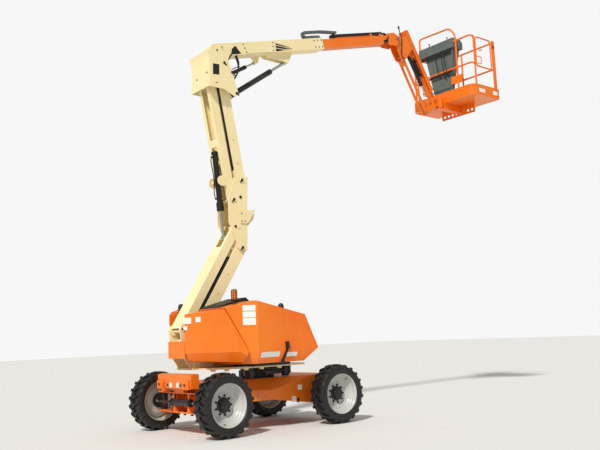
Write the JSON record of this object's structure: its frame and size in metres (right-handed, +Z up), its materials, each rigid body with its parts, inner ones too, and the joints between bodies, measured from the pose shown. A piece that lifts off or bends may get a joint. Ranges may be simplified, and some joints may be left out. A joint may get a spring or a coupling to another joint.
{
  "type": "articulating boom lift",
  "caption": "Self-propelled articulating boom lift with slewing turntable, folding tower, telescoping boom, jib and levelled work platform on rough-terrain tyres.",
  "frame": {"origin": "centre of the overall plan outline, on the ground under the tyres", "axes": "+Z up, +X from the steer axle towards the drive axle and the work platform, +Y to the far side"},
  "size_m": [6.9395, 1.9698, 6.8977],
  "materials": {
    "orange_paint": "gloss",
    "cast_iron": "matte",
    "black_paint": "satin",
    "chrome_rod": "polished",
    "tyre_rubber": "matte",
    "silver_paint": "satin",
    "cream_paint": "gloss",
    "ballast_iron": "gloss",
    "black_plastic": "matte",
    "amber_lens": "gloss",
    "grey_plastic": "matte"
  },
  "bodies": {
    "chassis": {"chassis_frame": "orange_paint", "steer_axle_beam": "orange_paint", "drive_axle": "cast_iron", "swing_bearing": "cast_iron", "steer_cylinder": "black_paint"},
    "steer_rod": {"steer_rod": "chrome_rod"},
    "knuckle_near": {"steer_knuckle_near": "cast_iron"},
    "knuckle_far": {"steer_knuckle_far": "cast_iron"},
    "wheel_steer_near": {"steer_tyre_near": "tyre_rubber", "steer_rim_near": "silver_paint"},
    "wheel_steer_far": {"steer_tyre_far": "tyre_rubber", "steer_rim_far": "silver_paint"},
    "wheel_drive_near": {"drive_tyre_near": "tyre_rubber", "drive_rim_near": "silver_paint"},
    "wheel_drive_far": {"drive_tyre_far": "tyre_rubber", "drive_rim_far": "silver_paint"},
    "turntable": {"turntable_frame": "cream_paint", "counterweight_near": "ballast_iron", "counterweight_far": "ballast_iron", "engine": "cast_iron", "hydraulic_tank": "black_paint"},
    "near_hood": {"near_hood": "orange_paint", "exhaust_cover": "black_plastic", "beacon": "amber_lens"},
    "far_hood": {"far_hood": "orange_paint"},
    "lower_tower": {"lower_tower_arm": "cream_paint"},
    "lower_link": {"lower_tower_link": "cream_paint"},
    "upright": {"tower_upright": "cream_paint"},
    "upper_tower": {"upper_tower_arm": "cream_paint"},
    "upper_link": {"upper_tower_link": "cream_paint"},
    "tower_barrel": {"tower_cylinder": "black_paint"},
    "tower_ram": {"tower_ram": "chrome_rod"},
    "head": {"tower_head": "cream_paint"},
    "main_boom": {"main_boom": "cream_paint"},
    "fly": {"fly_boom": "orange_paint"},
    "lift_barrel": {"main_lift_cylinder": "black_paint"},
    "lift_ram": {"main_lift_ram": "chrome_rod"},
    "level_barrel": {"level_master_cylinder": "black_paint"},
    "level_ram": {"level_master_ram": "chrome_rod"},
    "knuckle_jib": {"jib_knuckle": "orange_paint"},
    "jib": {"jib_arm": "orange_paint"},
    "jib_link": {"jib_link": "orange_paint"},
    "jib_end": {"jib_end_bracket": "orange_paint"},
    "jib_barrel": {"jib_lift_cylinder": "black_paint"},
    "jib_ram": {"jib_lift_ram": "chrome_rod"},
    "platform": {"platform_floor": "orange_paint", "platform_rails": "orange_paint", "platform_support": "orange_paint", "platform_console": "grey_plastic"},
    "gate": {"platform_gate": "orange_paint"}
  },
  "joints": [
    {"name": "wheel_steer_near_roll", "type": "hinge", "parent": "knuckle_near", "child": "wheel_steer_near", "pos_m": [-3.03931, -0.83207, 0.4], "axis": [-0.0698, 0.9976, 0], "continuous": true},
    {"name": "wheel_steer_far_roll", "type": "hinge", "parent": "knuckle_far", "child": "wheel_steer_far", "pos_m": [-3.06372, 0.83207, 0.4], "axis": [-0.0698, 0.9976, 0], "continuous": true},
    {"name": "wheel_drive_near_roll", "type": "hinge", "parent": "chassis", "child": "wheel_drive_near", "pos_m": [-1.18152, -0.8325, 0.4], "axis": [0, 1, 0], "continuous": true},
    {"name": "wheel_drive_far_roll", "type": "hinge", "parent": "chassis", "child": "wheel_drive_far", "pos_m": [-1.18152, 0.8325, 0.4], "axis": [0, 1, 0], "continuous": true},
    {"name": "steering_near", "type": "hinge", "parent": "chassis", "child": "knuckle_near", "pos_m": [-3.05152, -0.6575, 0.4], "axis": [0, 0, 1], "range_deg": [-34, 26]},
    {"name": "steering_far", "type": "hinge", "parent": "chassis", "child": "knuckle_far", "pos_m": [-3.05152, 0.6575, 0.4], "axis": [0, 0, 1], "range_deg": [-34.05, 26.05]},
    {"name": "steer_rod_slide", "type": "slide", "parent": "chassis", "child": "steer_rod", "axis": [0, -1, 0], "range_m": [-0.0687, 0.0527]},
    {"name": "swing", "type": "hinge", "parent": "chassis", "child": "turntable", "pos_m": [-1.94651, 0, 0.815], "axis": [0, 0, 1], "range_deg": [-177.5, 177.5]},
    {"name": "near_hood_hinge", "type": "hinge", "parent": "turntable", "child": "near_hood", "pos_m": [-2.11652, -0.087, 1.7], "axis": [-1, 0, 0], "range_deg": [0, 60]},
    {"name": "far_hood_hinge", "type": "hinge", "parent": "turntable", "child": "far_hood", "pos_m": [-2.11652, 0.487, 1.7], "axis": [1, 0, 0], "range_deg": [0, 60]},
    {"name": "tower_lift", "type": "hinge", "parent": "turntable", "child": "lower_tower", "pos_m": [-3.00651, 0.2, 1.043], "axis": [0, -1, 0], "range_deg": [-57.8, 4.5]},
    {"name": "lower_link_turn", "type": "hinge", "parent": "turntable", "child": "lower_link", "pos_m": [-3.06651, 0.2, 1.343], "axis": [0, -1, 0], "range_deg": [-57.85, 4.55]},
    {"name": "upright_level", "type": "hinge", "parent": "lower_tower", "child": "upright", "pos_m": [-2.08997, 0.2, 2.49845], "axis": [0, -1, 0], "range_deg": [-4.55, 57.85]},
    {"name": "upper_tower_turn", "type": "hinge", "parent": "upright", "child": "upper_tower", "pos_m": [-2.06597, 0.2, 3.49045], "axis": [0, -1, 0], "range_deg": [-6.55, 83.55]},
    {"name": "upper_link_turn", "type": "hinge", "parent": "upright", "child": "upper_link", "pos_m": [-2.21597, 0.2, 3.19045], "axis": [0, -1, 0], "range_deg": [-6.55, 83.55]},
    {"name": "head_level", "type": "hinge", "parent": "upper_tower", "child": "head", "pos_m": [-2.37941, 0.2, 5.18165], "axis": [0, -1, 0], "range_deg": [-83.55, 6.55]},
    {"name": "tower_cylinder_tilt", "type": "hinge", "parent": "upper_link", "child": "tower_barrel", "pos_m": [-2.38197, 0.2, 3.45745], "axis": [0, -1, 0], "range_deg": [-68.05, 5.34]},
    {"name": "tower_ram_slide", "type": "slide", "parent": "tower_barrel", "child": "tower_ram", "axis": [0.0915, 0, -0.9958], "range_m": [-0.3805, 0.0301]},
    {"name": "boom_lift", "type": "hinge", "parent": "head", "child": "main_boom", "pos_m": [-2.41441, 0.2, 5.41165], "axis": [0, 1, 0], "range_deg": [-57, 22]},
    {"name": "telescope", "type": "slide", "parent": "main_boom", "child": "fly", "axis": [-0.9668, 0, -0.2554], "range_m": [-0.25, 1.15]},
    {"name": "lift_cylinder_tilt", "type": "hinge", "parent": "head", "child": "lift_barrel", "pos_m": [-2.17441, 0.2, 4.75365], "axis": [0, 1, 0], "range_deg": [-44.88, 17.35]},
    {"name": "lift_ram_slide", "type": "slide", "parent": "lift_barrel", "child": "lift_ram", "axis": [0.8247, 0, 0.5656], "range_m": [-0.2276, 0.5889]},
    {"name": "level_cylinder_tilt", "type": "hinge", "parent": "head", "child": "level_barrel", "pos_m": [-2.24241, 0.38, 5.06065], "axis": [0, 1, 0], "range_deg": [-49.01, 18.95]},
    {"name": "level_ram_slide", "type": "slide", "parent": "level_barrel", "child": "level_ram", "axis": [0.8635, 0, 0.5043], "range_m": [-0.1364, 0.3526]},
    {"name": "jib_knuckle_level", "type": "hinge", "parent": "fly", "child": "knuckle_jib", "pos_m": [1.48189, 0.2, 6.4411], "axis": [0, -1, 0], "range_deg": [-57.05, 22.05]},
    {"name": "jib_lift", "type": "hinge", "parent": "knuckle_jib", "child": "jib", "pos_m": [1.88789, 0.2, 6.4161], "axis": [0, -1, 0], "range_deg": [-5, 95]},
    {"name": "jib_link_turn", "type": "hinge", "parent": "knuckle_jib", "child": "jib_link", "pos_m": [1.62589, 0.2, 6.1491], "axis": [0, -1, 0], "range_deg": [-5.05, 95.05]},
    {"name": "jib_end_level", "type": "hinge", "parent": "jib", "child": "jib_end", "pos_m": [2.44489, 0.2, 5.45134], "axis": [0, -1, 0], "range_deg": [-95.05, 5.05]},
    {"name": "jib_cylinder_tilt", "type": "hinge", "parent": "knuckle_jib", "child": "jib_barrel", "pos_m": [1.84589, 0.2, 6.2201], "axis": [0, -1, 0], "range_deg": [-5.05, 95.05]},
    {"name": "jib_ram_slide", "type": "slide", "parent": "jib_barrel", "child": "jib_ram", "axis": [0.5115, 0, -0.8593], "range_m": [-0.0155, 0.2857]},
    {"name": "platform_rotate", "type": "hinge", "parent": "jib_end", "child": "platform", "pos_m": [2.62489, 0.2, 5.45134], "axis": [0, 0, 1], "range_deg": [-90, 90]},
    {"name": "gate_hinge", "type": "hinge", "parent": "platform", "child": "gate", "pos_m": [3.32589, -0.5367, 6.01135], "axis": [0, 0, -1], "range_deg": [0, 90]}
  ],
  "couplings": [
    {"joint": "steering_far", "follows": "steering_near", "ratio": 1},
    {"joint": "steer_rod_slide", "follows": "steering_near", "m_per_rad": 0.115},
    {"joint": "lower_link_turn", "follows": "tower_lift", "ratio": 1},
    {"joint": "upright_level", "follows": "tower_lift", "ratio": -1},
    {"joint": "upper_tower_turn", "follows": "tower_lift", "ratio": -1.4446},
    {"joint": "upper_link_turn", "follows": "tower_lift", "ratio": -1.4446},
    {"joint": "head_level", "follows": "tower_lift", "ratio": 1.4446},
    {"joint": "tower_cylinder_tilt", "follows": "tower_lift", "ratio": 1.1765},
    {"joint": "tower_ram_slide", "follows": "tower_lift", "m_per_rad": 0.37668},
    {"joint": "jib_knuckle_level", "follows": "boom_lift", "ratio": 1},
    {"joint": "jib_link_turn", "follows": "jib_lift", "ratio": 1},
    {"joint": "jib_end_level", "follows": "jib_lift", "ratio": -1},
    {"joint": "lift_cylinder_tilt", "follows": "boom_lift", "ratio": 0.78647},
    {"joint": "lift_ram_slide", "follows": "boom_lift", "m_per_rad": -0.59141},
    {"joint": "level_cylinder_tilt", "follows": "boom_lift", "ratio": 0.85897},
    {"joint": "level_ram_slide", "follows": "boom_lift", "m_per_rad": -0.35391},
    {"joint": "jib_cylinder_tilt", "follows": "jib_lift", "ratio": 1},
    {"joint": "jib_ram_slide", "follows": "jib_lift", "m_per_rad": 0.172}
  ]
}
